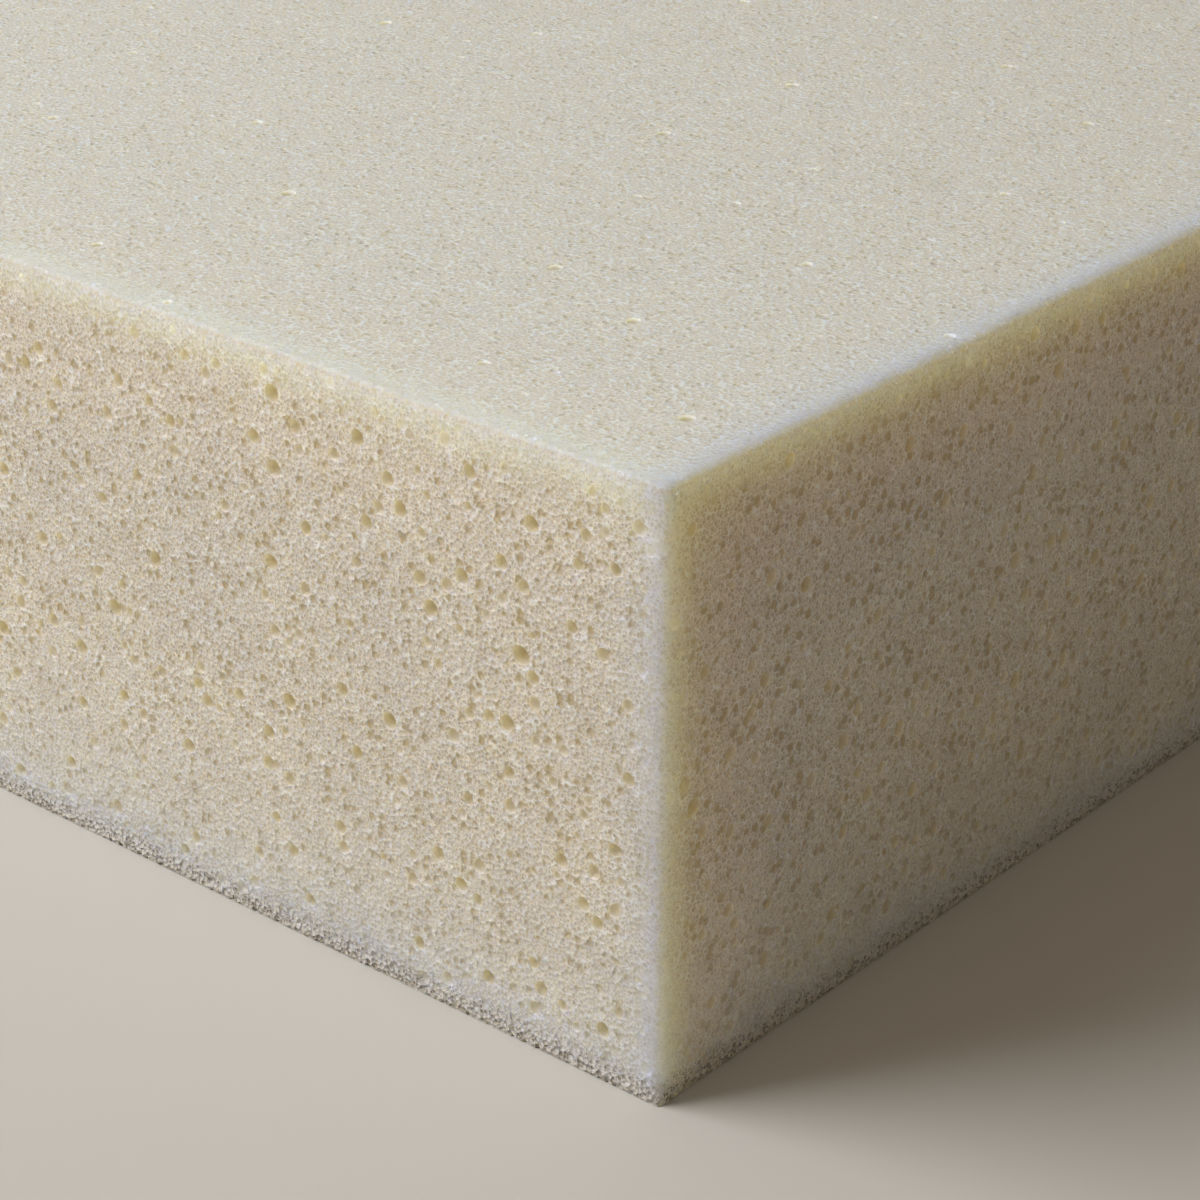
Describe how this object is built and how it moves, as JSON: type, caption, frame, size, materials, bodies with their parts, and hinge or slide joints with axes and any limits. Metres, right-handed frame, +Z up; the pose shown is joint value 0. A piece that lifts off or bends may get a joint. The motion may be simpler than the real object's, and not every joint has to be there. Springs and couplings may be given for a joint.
{
  "type": "upholstery foam block",
  "caption": "Square block of pale open-cell foam, cut on all six sides, with soft edges and round opened cells in every face.",
  "frame": {"origin": "centre of the base face, which the block rests on", "axes": "+Z up through the thickness of the block; -Y is the front cut side that the picture shows lit, and +X is the side that it shows in shade"},
  "size_m": [0.2, 0.2, 0.075],
  "materials": {
    "foam": "pale cream open-cell polyurethane foam, matt, with fine cells and whitish cut edges"
  },
  "bodies": {
    "root": {"foam_block": "foam"}
  },
  "joints": []
}
